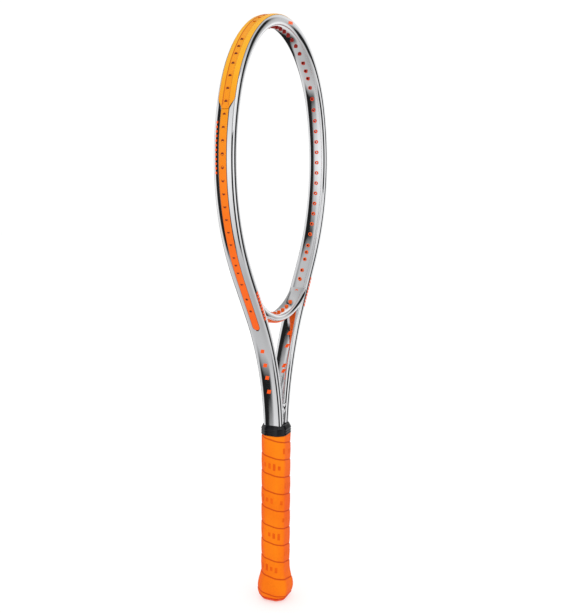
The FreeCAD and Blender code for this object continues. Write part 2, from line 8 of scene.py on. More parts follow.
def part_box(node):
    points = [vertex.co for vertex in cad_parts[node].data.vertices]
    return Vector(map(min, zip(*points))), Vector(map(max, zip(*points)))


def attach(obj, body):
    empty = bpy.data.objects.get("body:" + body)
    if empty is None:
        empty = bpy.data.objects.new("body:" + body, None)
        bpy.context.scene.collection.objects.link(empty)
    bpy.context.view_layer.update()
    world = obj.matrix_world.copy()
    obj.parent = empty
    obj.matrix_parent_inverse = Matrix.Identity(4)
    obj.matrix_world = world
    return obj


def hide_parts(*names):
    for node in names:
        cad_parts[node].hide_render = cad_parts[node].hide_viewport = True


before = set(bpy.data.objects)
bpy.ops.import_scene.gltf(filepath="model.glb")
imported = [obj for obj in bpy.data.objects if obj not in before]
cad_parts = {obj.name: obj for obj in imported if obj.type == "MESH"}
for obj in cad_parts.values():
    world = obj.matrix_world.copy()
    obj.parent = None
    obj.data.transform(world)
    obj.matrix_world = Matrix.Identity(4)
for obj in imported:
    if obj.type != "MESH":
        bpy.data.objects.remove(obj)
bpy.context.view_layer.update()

# Looks of an unstrung tennis racket. Metres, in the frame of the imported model: origin at the
# butt end, +Z to the tip of the head, X in the string plane, Y across it.
MM = 0.001

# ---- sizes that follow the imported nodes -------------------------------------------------
TUBE_LOW, TUBE_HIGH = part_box("frame_tube")
GUARD_LOW, GUARD_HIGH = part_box("bumper_guard")
STRIP_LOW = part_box("grommet_strip_right")[0]
WRAP_LOW, WRAP_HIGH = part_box("grip_wrap")
COLLAR_LOW, COLLAR_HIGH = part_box("grip_collar")
CAP_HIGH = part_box("butt_cap")[1]
HALF_DEPTH = TUBE_HIGH[1]
FOOT_Z = TUBE_LOW[2]
TIP_Z = GUARD_HIGH[2]

# ---- the tube's centreline, as in the CAD: arcs (radius, degrees) from the tip, then a ---
# straight, then one reverse arc down to the handle legs
HALF_THICKNESS = 6.4 * MM
GUARD_STAND_OUT = 0.5 * MM
HOOP_ARCS = ((121.0 * MM, 30.4), (132.0 * MM, 39.4), (202.5 * MM, 48.2), (280.0 * MM, 6.9))
THROAT_RADIUS = 285.0 * MM
APEX_Z = TIP_Z - GUARD_STAND_OUT - HALF_THICKNESS
BRIDGE_RADIUS = 103.5 * MM
BRIDGE_HALF_THICKNESS = 4.25 * MM
BRIDGE_HALF_DEPTH = 10.75 * MM
BRIDGE_CENTRE_Z = 351.5 * MM - BRIDGE_HALF_THICKNESS + BRIDGE_RADIUS
SECTION_POWER = 3.3

# ---- string holes, as in the CAD --------------------------------------------------------
TOP_HOLE_X = [(5.3 + 10.7 * i + 0.15 * i * i) * MM for i in range(6)]
SIDE_HOLE_Z = [645.0 * MM, 636.9 * MM, 628.9 * MM]
SIDE_HOLE_Z += [(618.7 - 12.87 * i) * MM for i in range(15)]
SIDE_HOLE_Z += [424.7 * MM, 416.5 * MM, 408.0 * MM, 395.0 * MM]
CORNER_HOLE_Z = [380.9 * MM, 366.7 * MM]
BRIDGE_HOLE_X = [(5.8 + 11.4 * i) * MM for i in range(4)]


# ================================== material helpers =====================================
def fill_ramp(ramp, stops):
    """Sets a colour ramp to these (position, grey or colour) stops."""
    colors = [(value, value, value, 1.0) if isinstance(value, float) else (*value, 1.0) for _, value in stops]
    elements = ramp.elements
    elements[0].position = stops[0][0]
    elements[1].position = stops[-1][0]
    elements[0].color = colors[0]
    elements[1].color = colors[-1]
    for (position, _), color in list(zip(stops, colors))[1:-1]:
        elements.new(position).color = color


class Shader:
    """A node material under construction."""

    def __init__(self, name):
        self.material = bpy.data.materials.new(name)
        self.material.use_nodes = True
        self.nodes = self.material.node_tree.nodes
        self.links = self.material.node_tree.links
        self.surface = self.nodes["Principled BSDF"]
        self.place = self.node("ShaderNodeTexCoord").outputs["Object"]

    def node(self, kind, **values):
        made = self.nodes.new(kind)
        for key, value in values.items():
            if key in made.inputs:
                made.inputs[key].default_value = value
            else:
                setattr(made, key, value)
        return made

    def set(self, **values):
        for key, value in values.items():
            self.surface.inputs[key.replace("_", " ")].default_value = value

    def link(self, source, target):
        self.links.new(source, target)

    def noise(self, scale, detail=3.0, stretch=None):
        made = self.node("ShaderNodeTexNoise", Scale=scale, Detail=detail)
        source = self.place
        if stretch:
            mapping = self.node("ShaderNodeMapping", Scale=stretch)
            self.link(source, mapping.inputs["Vector"])
            source = mapping.outputs["Vector"]
        self.link(source, made.inputs["Vector"])
        return made.outputs["Fac"]

    def ramp(self, source, stops):
        made = self.node("ShaderNodeValToRGB")
        fill_ramp(made.color_ramp, stops)
        self.link(source, made.inputs["Fac"])
        return made.outputs["Color"]

    def height(self, low, high):
        """0 to 1 with the height above the butt."""
        split = self.node("ShaderNodeSeparateXYZ")
        self.link(self.place, split.inputs["Vector"])
        span = self.node("ShaderNodeMapRange")
        span.inputs["From Min"].default_value = low
        span.inputs["From Max"].default_value = high
        self.link(split.outputs["Z"], span.inputs["Value"])
        return span.outputs["Result"]

    def mix(self, blend, factor, first, second):
        made = self.node("ShaderNodeMix", data_type="RGBA", blend_type=blend)
        made.inputs["Factor"].default_value = factor
        for socket, value in (("A", first), ("B", second)):
            if isinstance(value, tuple):
                made.inputs[6 if socket == "A" else 7].default_value = (*value, 1.0)
            else:
                self.link(value, made.inputs[6 if socket == "A" else 7])
        return made.outputs[2]

    def bump(self, source, strength, distance):
        made = self.node("ShaderNodeBump", Strength=strength, Distance=distance)
        self.link(source, made.inputs["Height"])
        self.link(made.outputs["Normal"], self.surface.inputs["Normal"])

    def roughness(self, source, low, high):
        span = self.node("ShaderNodeMapRange")
        span.inputs["To Min"].default_value = low
        span.inputs["To Max"].default_value = high
        self.link(source, span.inputs["Value"])
        self.link(span.outputs["Result"], self.surface.inputs["Roughness"])


def srgb(red, green, blue):
    def linear(value):
        value /= 255.0
        return value / 12.92 if value <= 0.04045 else ((value + 0.055) / 1.055) ** 2.4
    return linear(red), linear(green), linear(blue)


def chrome_material():
    """Metallised lacquer: a mirror with a trace of orange peel and faint cleaning marks."""
    shader = Shader("chrome_lacquer")
    shader.set(Metallic=1.0)
    tint = shader.ramp(shader.noise(9.0, 2.0), [(0.3, (0.80, 0.81, 0.83)), (0.7, (0.90, 0.90, 0.91))])
    shader.link(tint, shader.surface.inputs["Base Color"])
    shader.roughness(shader.noise(60.0, 4.0, (1, 1, 0.15)), 0.04, 0.11)
    shader.bump(shader.noise(260.0, 2.0), 0.05, 0.0002)
    return shader.material


def moulded_material(name, stops, low, high, rough):
    """Moulded nylon coloured by height, with a fine spark-eroded grain."""
    shader = Shader(name)
    base = shader.ramp(shader.height(low, high), stops)
    mottle = shader.ramp(shader.noise(35.0, 4.0), [(0.3, (0.90, 0.90, 0.90)), (0.7, (1.0, 1.0, 1.0))])
    shader.link(shader.mix("MULTIPLY", 0.6, base, mottle), shader.surface.inputs["Base Color"])
    shader.roughness(shader.noise(90.0), rough - 0.06, rough + 0.08)
    shader.set(Specular_IOR_Level=0.25)
    shader.bump(shader.noise(2200.0, 2.0), 0.12, 0.0001)
    return shader.material


def grip_material():
    """Cushioned synthetic grip: tacky skin with fine pores, with painted shade: redder where it turns away
    from the view, and darker in the seams.
    """
    shader = Shader("grip_skin")
    stops = [(0.25, srgb(244, 112, 2)), (0.55, srgb(253, 134, 3)), (0.85, srgb(254, 146, 6))]
    base = shader.ramp(shader.noise(22.0, 5.0, (1, 1, 0.5)), stops)
    fine = shader.ramp(shader.noise(420.0, 3.0), [(0.25, (0.86, 0.84, 0.82)), (0.6, (1.0, 1.0, 1.0))])
    grained = shader.mix("MULTIPLY", 0.5, base, fine)
    # Painted shade: the skin is mixed towards a deep red where its surface turns away from the view, standing
    # in for the edges' shade.
    rim = shader.node("ShaderNodeLayerWeight", Blend=0.36)
    skin = shader.mix("MIX", 0.0, grained, srgb(236, 62, 2))
    shader.link(rim.outputs["Facing"], skin.node.inputs["Factor"])
    # Painted shade: darker red in the wrap's spiral seam.
    seam_painted_shade = shader.mix("MIX", 0.0, skin, srgb(196, 58, 2))
    shader.link(painted_seam_shade(shader), seam_painted_shade.node.inputs["Factor"])
    shader.link(seam_painted_shade, shader.surface.inputs["Base Color"])
    shader.roughness(shader.noise(120.0, 4.0), 0.45, 0.65)
    shader.set(Specular_IOR_Level=0.12)
    shader.bump(shader.noise(1500.0, 4.0), 0.25, 0.0002)
    return shader.material


def painted_seam_shade(shader):
    """Mask of the painted shade in the wrap's spiral seam: 1 in the seam, 0 away from it."""
    split = shader.node("ShaderNodeSeparateXYZ")
    shader.link(shader.place, split.inputs["Vector"])

    def calculate(operation, *values):
        made = shader.node("ShaderNodeMath", operation=operation)
        for socket, value in zip(made.inputs, values):
            if isinstance(value, float):
                socket.default_value = value
            else:
                shader.link(value, socket)
        return made

    angle = calculate("ARCTAN2", split.outputs["Y"], split.outputs["X"]).outputs[0]
    turns = calculate("MULTIPLY_ADD", angle, 1 / (2 * math.pi), WRAP_START).outputs[0]
    wound = calculate("MULTIPLY_ADD", split.outputs["Z"], 1 / WRAP_PITCH, turns).outputs[0]
    phase = calculate("FRACT", wound).outputs[0]
    away = calculate("MINIMUM", phase, calculate("SUBTRACT", 1.0, phase).outputs[0]).outputs[0]
    shade = calculate("MULTIPLY_ADD", away, -WRAP_PITCH / (1.3 * MM), 0.95)
    shade.use_clamp = True
    return shade.outputs[0]


WRAP_PITCH = 21.3 * MM
WRAP_START = 1.0


def grip_print_material():
    """The slightly darker, glossier skin of an embossed mark."""
    shader = Shader("grip_emboss")
    base = shader.ramp(shader.noise(60.0), [(0.3, srgb(222, 82, 2)), (0.7, srgb(242, 104, 3))])
    shader.link(base, shader.surface.inputs["Base Color"])
    shader.roughness(shader.noise(120.0), 0.5, 0.65)
    shader.set(Specular_IOR_Level=0.1)
    shader.bump(shader.noise(1500.0), 0.2, 0.0002)
    return shader.material


def rubber_material():
    shader = Shader("collar_rubber")
    base = shader.ramp(shader.noise(80.0, 4.0), [(0.3, (0.003, 0.003, 0.004)), (0.8, (0.010, 0.010, 0.012))])
    shader.link(base, shader.surface.inputs["Base Color"])
    shader.roughness(shader.noise(150.0), 0.16, 0.28)
    shader.set(Specular_IOR_Level=0.35)
    shader.bump(shader.noise(1800.0), 0.1, 0.0001)
    return shader.material


def plain_material(name, dark, light, rough, metallic=0.0, grain=300.0):
    """A mottled solid for hidden or very small parts, and for the painted shade in holes and along the bands'
    edges.
    """
    shader = Shader(name)
    shader.set(Metallic=metallic)
    base = shader.ramp(shader.noise(grain, 3.0), [(0.3, dark), (0.7, light)])
    shader.link(base, shader.surface.inputs["Base Color"])
    shader.roughness(shader.noise(grain), rough - 0.05, rough + 0.08)
    shader.bump(shader.noise(grain * 4), 0.1, 0.0001)
    return shader.material


RED_ORANGE = srgb(255, 104, 10)
LOWEST_BAND_Z = STRIP_LOW[2]
BAND_STOPS = [(0.0, srgb(252, 98, 2)), (0.3, srgb(252, 110, 2)), (0.5, srgb(250, 132, 4)),
              (0.66, srgb(248, 152, 10)), (0.8, srgb(252, 178, 26)), (1.0, srgb(253, 184, 34))]
# The barrels run from orange low down to a dark deep red towards the tip: painted shade.
BARREL_SHADED_STOPS = [(0.0, srgb(255, 104, 14)), (0.5, srgb(250, 84, 14)), (0.72, srgb(238, 62, 16)),
                (0.95, srgb(150, 20, 12))]

CHROME = chrome_material()
BAND = moulded_material("guard_nylon", BAND_STOPS, LOWEST_BAND_Z, TIP_Z, 0.38)
# The guard's channel floor and walls, and the hole mouths' rims, are painted darker than the lands: painted
# shade in the recesses.
CHANNEL_SHADE_STOPS = [(0.0, RED_ORANGE), (0.6, srgb(250, 142, 6)), (0.8, srgb(248, 158, 12)),
                 (1.0, srgb(250, 164, 16))]
WALL_SHADE_STOPS = [(0.0, RED_ORANGE), (0.6, srgb(206, 96, 2)), (1.0, srgb(214, 112, 4))]
BAND_CHANNEL_SHADE = moulded_material("guard_channel", CHANNEL_SHADE_STOPS, LOWEST_BAND_Z, TIP_Z, 0.45)
BAND_WALL_SHADE = moulded_material("guard_channel_wall", WALL_SHADE_STOPS, LOWEST_BAND_Z, TIP_Z, 0.5)
BARREL_SHADED = moulded_material("barrel_nylon", BARREL_SHADED_STOPS, LOWEST_BAND_Z, TIP_Z, 0.34)
MARK = moulded_material("mark_paint", [(0.0, srgb(255, 88, 8)), (1.0, srgb(255, 92, 10))], 0.0, TIP_Z, 0.3)
GRIP = grip_material()
EMBOSS = grip_print_material()
RUBBER = rubber_material()
# The holes' bores are painted dark red: painted shade inside the holes.
BORE_SHADE = plain_material("hole_shade", srgb(84, 18, 6), srgb(120, 30, 10), 0.7)
# A near-black line along each band's edge: painted shadow where the band meets the tube.
EDGE_SHADOW = plain_material("strip_shadow_line", (0.012, 0.010, 0.010), (0.03, 0.026, 0.025), 0.6)
CAP_STOPS = [(0.0, srgb(236, 76, 8)), (1.0, srgb(244, 84, 10))]
CAP = moulded_material("cap_plastic", CAP_STOPS, 0.0, CAP_HIGH[2], 0.42)
FOAM = plain_material("pallet_foam", (0.05, 0.05, 0.05), (0.09, 0.09, 0.088), 0.8)
STEEL = plain_material("staple_steel", (0.5, 0.5, 0.5), (0.7, 0.7, 0.71), 0.3, 1.0)
TAPE = plain_material("tape_vinyl", (0.012, 0.012, 0.012), (0.03, 0.03, 0.03), 0.4)


# ==================================== mesh helpers =======================================
def mesh_object(name, points, faces, materials, face_slots=None, smooth=True):
    mesh = bpy.data.meshes.new(name)
    mesh.from_pydata([tuple(p) for p in points], [], faces)
    for material in materials:
        mesh.materials.append(material)
    if face_slots is not None:
        mesh.polygons.foreach_set("material_index", face_slots)
    mesh.polygons.foreach_set("use_smooth", [smooth] * len(faces))
    mesh.update()
    made = bpy.data.objects.new(name, mesh)
    bpy.context.scene.collection.objects.link(made)
    return made


def grid_faces(rows, columns, wrap, start=0):
    """Quads of a grid of points stored row by row. wrap closes each row into a ring."""
    faces = []
    last = columns if wrap else columns - 1
    for i in range(rows - 1):
        for j in range(last):
            k = (j + 1) % columns
            faces.append((start + i * columns + j, start + i * columns + k,
                          start + (i + 1) * columns + k, start + (i + 1) * columns + j))
    return faces


def loft(name, rings, material, caps=True, flip=False):
    """A skin through rings of points, closed round and, with caps, at both ends."""
    rings = np.asarray(rings)
    rows, columns, _ = rings.shape
    faces = grid_faces(rows, columns, True)
    if caps:
        faces.append(tuple(reversed(range(columns))))
        faces.append(tuple((rows - 1) * columns + j for j in range(columns)))
    if flip:
        faces = [tuple(reversed(face)) for face in faces]
    return mesh_object(name, rings.reshape(-1, 3), faces, [material])


def join_objects(name, parts):
    """One mesh from several, keeping their material slots in the first one's order."""
    points, faces, slots, materials = [], [], [], []
    for part in parts:
        mesh = part.data
        start = len(points)
        points += [tuple(vertex.co) for vertex in mesh.vertices]
        for material in mesh.materials:
            if material not in materials:
                materials.append(material)
        for polygon in mesh.polygons:
            faces.append(tuple(start + index for index in polygon.vertices))
            slots.append(materials.index(mesh.materials[polygon.material_index]))
        bpy.data.objects.remove(part)
    return mesh_object(name, points, faces, materials, slots)


def belongs(piece, slot, *nodes, body="racket"):
    """Hangs a piece on its body and hides the CAD nodes it stands for. slot, the finish's name, is not used.
    """
    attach(piece, body)
    if nodes:
        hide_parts(*nodes)
    return piece


# ================================== the tube's centreline ================================
def half_segments():
    """(start x, start z, start heading, length, radius or None, bend) from the tip down."""
    segments = []
    x, z, heading = 0.0, APEX_Z, 0.0
    for radius, angle in HOOP_ARCS:
        turn = math.radians(angle)
        segments.append((x, z, heading, radius * turn, radius, 1))
        x, z, heading = walk(segments[-1], segments[-1][3])
    leg_x = HALF_THICKNESS
    turn = heading - math.pi / 2
    straight = (x - leg_x - THROAT_RADIUS * (1 - math.cos(turn))) / math.sin(turn)
    segments.append((x, z, heading, straight, None, 0))
    x, z, heading = walk(segments[-1], straight)
    segments.append((x, z, heading, THROAT_RADIUS * turn, THROAT_RADIUS, -1))
    x, z, heading = walk(segments[-1], THROAT_RADIUS * turn)
    segments.append((leg_x, z, math.pi / 2, z - FOOT_Z, None, 0))
    return segments


def walk(segment, distance):
    """The point and heading at a distance along a segment. Heading 0 is +X and a quarter turn is -Z."""
    x, z, heading, _, radius, bend = segment
    if radius is None:
        return x + distance * math.cos(heading), z - distance * math.sin(heading), heading
    turned = heading + bend * distance / radius
    reach = bend * radius
    return (x + reach * (math.sin(turned) - math.sin(heading)),
            z + reach * (math.cos(turned) - math.cos(heading)), turned)


SEGMENTS = half_segments()
HALF_LENGTH = sum(segment[3] for segment in SEGMENTS)


def station(distance):
    for segment in SEGMENTS:
        if distance <= segment[3]:
            return walk(segment, distance)
        distance -= segment[3]
    return walk(SEGMENTS[-1], SEGMENTS[-1][3])


def search(low, high, test):
    """The distance where test turns from true to false."""
    for _ in range(50):
        middle = (low + high) / 2
        low, high = (middle, high) if test(middle) else (low, middle)
    return (low + high) / 2


def at_height(z, offset=0.0):
    """Distance from the tip where the line at this offset from the tube's centre has height z."""
    def above(distance):
        _, centre_z, heading = station(distance)
        return centre_z + offset * math.cos(heading) > z
    return search(0.0, HALF_LENGTH, above)


def at_width(x, offset):
    """Distance from the tip, above the widest place, where the line at this offset has half width x."""
    def inside(distance):
        centre_x, _, heading = station(distance)
        return centre_x + offset * math.sin(heading) < x
    return search(0.0, HOOP_ARCS[0][0] + HOOP_ARCS[1][0] / 2, inside)


def tube_point(distance, side, out, depth):
    """A point beside the centreline: out along the tube's outward normal, depth along Y."""
    x, z, heading = station(distance)
    return Vector((side * (x + out * math.sin(heading)), depth, z + out * math.cos(heading)))


def face_crown(depth, half_out=HALF_THICKNESS, half_depth=HALF_DEPTH):
    """How far the broad face of the section stands from its centre, at a depth."""
    ratio = min(abs(depth) / half_depth, 1.0)
    return half_out * (1 - ratio ** SECTION_POWER) ** (1 / SECTION_POWER)


def section_ring(half_out, half_depth, count):
    """Even points round a crowned box section: (out, depth)."""
    dense = []
    for i in range(count * 16):
        angle = 2 * math.pi * i / (count * 16)
        c, s = math.cos(angle), math.sin(angle)
        power = 2 / SECTION_POWER
        out = half_out * math.copysign(abs(c) ** power, c)
        dense.append((out, half_depth * math.copysign(abs(s) ** power, s)))
    dense = np.array(dense + dense[:1])
    run = np.concatenate([[0], np.cumsum(np.hypot(*np.diff(dense, axis=0).T))])
    places = np.linspace(0, run[-1], count, endpoint=False)
    return list(zip(np.interp(places, run, dense[:, 0]), np.interp(places, run, dense[:, 1])))


# ==================================== chrome frame =======================================
def frame_shell():
    """The hairpin tube: foot, leg, shaft, hoop, and back down the other side."""
    ring = section_ring(HALF_THICKNESS, HALF_DEPTH, 96)
    count = 420
    rings = []
    for i in range(-count, count + 1):
        distance = HALF_LENGTH * abs(i) / count
        side = -1 if i < 0 else 1
        seat = band_half_width(distance)
        row = []
        for out, depth in ring:
            sunk = 0.9 * MM * smooth_step((seat - abs(depth)) / MM) if out > 0 else 0.0
            row.append(tube_point(distance, side, out - sunk, depth))
        rings.append(row)
    return loft("frame_tube_shell", rings, CHROME, flip=True)


def bridge_point(angle, out, depth):
    """A point beside the bridge's arc. Angle 0 is its lowest place. Out is away from the strings."""
    reach = BRIDGE_RADIUS + out
    return Vector((reach * math.sin(angle), depth, BRIDGE_CENTRE_Z - reach * math.cos(angle)))


def smooth_step(value):
    value = min(max(value, 0.0), 1.0)
    return value * value * (3 - 2 * value)


def bridge_swell(angle, reach):
    """The underside thickens beside the shafts, so the bridge runs into them."""
    degrees = abs(math.degrees(angle))
    return 2.6 * MM * smooth_step((degrees - 17) / 14) * smooth_step((math.degrees(reach) - degrees) / 7)


def bridge_reach():
    """The angle at which the bridge's middle line is well inside the tube."""
    def inside(angle):
        point = bridge_point(angle, 0.0, 0.0)
        return point.x < station(at_height(point.z))[0] - 2.0 * MM
    return search(math.radians(20), math.radians(60), inside)


def bridge_shell():
    ring = section_ring(BRIDGE_HALF_THICKNESS, BRIDGE_HALF_DEPTH, 56)
    rings = []
    reach = bridge_reach()
    for i in range(101):
        angle = -reach + 2 * reach * i / 100
        swell = bridge_swell(angle, reach)
        row = []
        for out, depth in ring:
            grown = out + swell * (out + BRIDGE_HALF_THICKNESS) / (2 * BRIDGE_HALF_THICKNESS)
            row.append(bridge_point(angle, grown, depth))
        rings.append(row)
    return loft("throat_bridge_shell", rings, CHROME)


def throat_web():
    """The saddle that closes the throat where the shafts meet."""
    top_z = 243.0 * MM
    half_depth = 10.0 * MM
    ring = section_ring(6.0 * MM, half_depth, 40)
    rings = []
    for i in range(41):
        angle = math.radians(-75 + 150 * i / 40)
        row = []
        for out, depth in ring:
            reach = 10.2 * MM + out
            row.append((reach * 0.72 * math.sin(angle), depth, top_z + 2 * MM - reach * math.cos(angle)))
        rings.append(row)
    saddle = loft("web_saddle", rings, CHROME)
    low_z = 205.0 * MM
    high_z = top_z - 9.0 * MM
    rings = []
    for i in range(9):
        z = low_z + (high_z - low_z) * i / 8
        rings.append([(out * 0.8, depth * 0.96, z) for out, depth in ring])
    fill = loft("web_fill", rings, CHROME)
    return join_objects("throat_web", [saddle, fill])


# ================================= bands on the outer face ===============================
def band_mesh(name, stations, profile, sink, material, tones=None):
    """A band on the tube's outer face.

    stations is a list of (side, distance, half width). profile gives the height above the tube at a
    depth and a half width. sink is how far the hidden underside lies below the tube's face. tones, if
    given, picks one of the band's three materials from the same two values.
    """
    steps = 44
    rings = []
    for side, distance, width in stations:
        row = []
        for j in range(steps + 1):
            ratio = math.sin(math.pi * (j / steps - 0.5))
            depth = width * ratio
            row.append(tube_point(distance, side, face_crown(depth) + profile(depth, width), depth))
        for depth in (width, -width):
            row.append(tube_point(distance, side, face_crown(depth) - sink, depth))
        rings.append(row)
    band = loft(name, rings, material, flip=True)
    if tones:
        band.data.materials.append(BAND_CHANNEL_SHADE)
        band.data.materials.append(BAND_WALL_SHADE)
        columns = steps + 3
        for index, polygon in enumerate(band.data.polygons):
            row, column = divmod(index, columns)
            if row < len(stations) - 1 and column < steps:
                width = stations[row][2]
                across = width * math.sin(math.pi * ((column + 0.5) / steps - 0.5))
                polygon.material_index = tones(across, width)
    return band


def edge_round(depth, width, radius):
    """0 in the middle of a band, falling to -1 at its very edge over the given radius."""
    near = min(max((radius - (width - abs(depth))) / radius, 0.0), 1.0)
    return -(1 - math.sqrt(max(0.0, 1 - near * near)))


def guard_profile(depth, width):
    """Two lands with a string channel between them, all edges eased."""
    land = 0.5 * MM + 0.5 * MM * edge_round(depth, width, 0.9 * MM)
    channel = smooth_step((3.7 * MM - abs(depth)) / (0.7 * MM))
    fade = smooth_step((width - 4.3 * MM) / (2.5 * MM))
    return land - 0.75 * MM * channel * fade


def guard_shade_tone(depth, width):
    """0 for the lands, 1 for the channel's floor, 2 for its walls. The floor is painted a little darker and
    the walls darker still, as painted shade in the recess.
    """
    if width < 5.0 * MM:
        return 1
    if abs(depth) < 2.9 * MM:
        return 1
    return 2 if abs(depth) < 3.75 * MM else 0


def strip_profile(depth, width):
    return 0.24 * MM + 0.24 * MM * edge_round(depth, width, 0.8 * MM)


def shadow_line_profile(depth, width):
    """Profile of the painted shadow line: just proud of the tube at the band's edge, and sunk under the band
    elsewhere.
    """
    return 0.05 * MM - 1.2 * MM * smooth_step((width - abs(depth) - 0.7 * MM) / (0.6 * MM))


GUARD_HALF_WIDTH = 9.0 * MM
STRIP_HALF_WIDTH = 4.1 * MM
GUARD_END = at_height(GUARD_LOW[2], HALF_THICKNESS)
STRIP_END = at_height(STRIP_LOW[2], HALF_THICKNESS) - STRIP_HALF_WIDTH


def guard_width(distance):
    """Full width, drawn in over the last stretch above each lower end."""
    rise = GUARD_END - distance
    draw = smooth_step((rise - 0.5 * MM) / (11.0 * MM)) ** 0.8
    return STRIP_HALF_WIDTH + (GUARD_HALF_WIDTH - STRIP_HALF_WIDTH) * draw


def strip_width(distance, extra=0.0):
    """Even, with a round end on the shaft."""
    radius = STRIP_HALF_WIDTH + extra
    left = STRIP_END + radius - distance
    if left >= radius:
        return radius
    return math.sqrt(max(radius ** 2 - (radius - left) ** 2, (0.05 * MM) ** 2))


def spaced(start, end, pitch):
    count = max(2, int(round((end - start) / pitch)))
    return [start + (end - start) * i / count for i in range(count + 1)]


def band_half_width(distance):
    """Half width of whatever band lies on the tube's outer face here, 0 below the strips."""
    if distance < GUARD_END:
        return guard_width(distance)
    return strip_width(distance) if distance < STRIP_END + STRIP_HALF_WIDTH else 0.0


def guard_stations(extra=0.0):
    half = spaced(0.0, GUARD_END - 14 * MM, 1.6 * MM) + spaced(GUARD_END - 13.5 * MM, GUARD_END, 0.5 * MM)
    left = [(-1, distance, guard_width(distance) + extra) for distance in reversed(half)]
    right = [(1, distance, guard_width(distance) + extra) for distance in half[1:]]
    return left + right


def strip_stations(side, extra=0.0):
    start = GUARD_END + 0.25 * MM
    radius = STRIP_HALF_WIDTH + extra
    tip = STRIP_END + radius
    places = spaced(start, STRIP_END, 1.6 * MM)
    places += [STRIP_END + radius * math.sin(math.pi / 2 * i / 12) for i in range(1, 13)]
    places = [min(place, tip - 1e-6) for place in places]
    stations = [(side, distance, strip_width(distance, extra)) for distance in places]
    return stations if side > 0 else list(reversed(stations))


# ====================================== string holes =====================================
class Hole:
    """A string hole: its outer and inner ends on the tube's faces, and the way in."""

    def __init__(self, outer, inner):
        self.outer = outer
        self.inner = inner
        self.way = (inner - outer).normalized()

    def mirrored(self):
        flip = Vector((-1, 1, 1))
        return Hole(self.outer * flip, self.inner * flip)


def side_hole(z):
    ends = []
    for offset in (HALF_THICKNESS, -HALF_THICKNESS):
        x, _, heading = station(at_height(z, offset))
        ends.append(Vector((x + offset * math.sin(heading), 0, z)))
    return Hole(*ends)


def top_hole(x):
    ends = []
    for offset in (HALF_THICKNESS, -HALF_THICKNESS):
        _, z, heading = station(at_width(x, offset))
        ends.append(Vector((x, 0, z + offset * math.cos(heading))))
    return Hole(*ends)


def corner_hole(z):
    distance = at_height(z)
    return Hole(tube_point(distance, 1, HALF_THICKNESS, 0), tube_point(distance, 1, -HALF_THICKNESS, 0))


def bridge_hole(x):
    ends = []
    for out in (BRIDGE_HALF_THICKNESS + 2.0 * MM, -BRIDGE_HALF_THICKNESS):
        reach = BRIDGE_RADIUS + out
        ends.append(Vector((x, 0, BRIDGE_CENTRE_Z - math.sqrt(reach ** 2 - x ** 2))))
    return Hole(*ends)


def both(holes):
    return holes + [hole.mirrored() for hole in holes]


TOP_HOLES = [top_hole(x) for x in TOP_HOLE_X]
SIDE_HOLES = [side_hole(z) for z in SIDE_HOLE_Z]
GUARD_HOLES = both(TOP_HOLES + [hole for hole in SIDE_HOLES if hole.outer.z > GUARD_LOW[2]])
STRIP_HOLES = [hole for hole in SIDE_HOLES if hole.outer.z < GUARD_LOW[2]]
STRIP_HOLES += [corner_hole(z) for z in CORNER_HOLE_Z]
BRIDGE_HOLES = both([bridge_hole(x) for x in BRIDGE_HOLE_X])


def lathe(base, axis, profile, materials, slots, segments=24):
    """A turned part. profile is (radius, height along the axis); slots gives each band's material."""
    axis = axis.normalized()
    side = axis.orthogonal().normalized()
    other = axis.cross(side)
    points = []
    for radius, height in profile:
        for j in range(segments):
            angle = 2 * math.pi * j / segments
            spoke = side * (radius * math.cos(angle))
            points.append(base + axis * height + spoke + other * (radius * math.sin(angle)))
    faces = grid_faces(len(profile), segments, True)
    indices = [slot for slot in slots for _ in range(segments)]
    last = (len(profile) - 1) * segments
    faces.append(tuple(last + j for j in range(segments)))
    indices.append(slots[-1])
    faces.append(tuple(reversed(range(segments))))
    indices.append(slots[0])
    return mesh_object("turned", points, faces, materials, indices)


def barrel(hole):
    """A grommet barrel's end, standing out of the inner face, with a round lip and its bore painted dark as
    shade.
    """
    out = 1.7 * MM
    profile = [(2.2 * MM, -1.5 * MM), (2.2 * MM, 0.0), (2.2 * MM, out - 0.35 * MM),
               (2.1 * MM, out - 0.12 * MM), (1.85 * MM, out), (1.5 * MM, out), (1.2 * MM, out - 0.15 * MM),
               (1.1 * MM, out - 0.5 * MM), (1.1 * MM, out - 2.2 * MM)]
    return lathe(hole.inner, hole.way, profile, [BARREL_SHADED, BORE_SHADE], [0, 0, 0, 0, 0, 0, 1, 1])


def barrels(name, holes):
    return join_objects(name, [barrel(hole) for hole in holes])


def mouth(hole, lift):
    """A string hole's outer end: a shallow dimple with an eased rim painted darker, and its bore painted
    dark, both as painted shade.
    """
    profile = [(1.9 * MM, -0.9 * MM), (1.9 * MM, lift), (1.7 * MM, lift + 0.12 * MM),
               (1.45 * MM, lift + 0.12 * MM), (1.3 * MM, lift + 0.04 * MM), (1.2 * MM, lift),
               (1.1 * MM, lift)]
    return lathe(hole.outer, -hole.way, profile, [BAND_WALL_SHADE, BORE_SHADE], [0, 0, 0, 1, 1, 1])


def mouths(name, holes, lift):
    return join_objects(name, [mouth(hole, lift) for hole in holes])


# ================================ marks printed on the frame =============================
def patch(name, side, face, start, end, low, high, slant=0.0):
    """A thin printed patch on the tube. face is outer, inner, front or back; low and high are its span
    across the face, and slant shifts it sideways from its start to its end."""
    rows, columns = 7, 5
    lift = 0.04 * MM
    points = []
    for i in range(rows):
        along = i / (rows - 1)
        distance = start + (end - start) * along
        for j in range(columns):
            across = low + (high - low) * j / (columns - 1) + slant * (along - 0.5)
            if face in ("outer", "inner"):
                sign = 1 if face == "outer" else -1
                points.append(tube_point(distance, side, sign * (face_crown(across) + lift), across))
            else:
                sign = -1 if face == "front" else 1
                depth = face_crown(across, HALF_DEPTH, HALF_THICKNESS) + lift
                points.append(tube_point(distance, side, across, sign * depth))
    faces = grid_faces(rows, columns, False)
    return mesh_object(name, points, faces, [MARK])


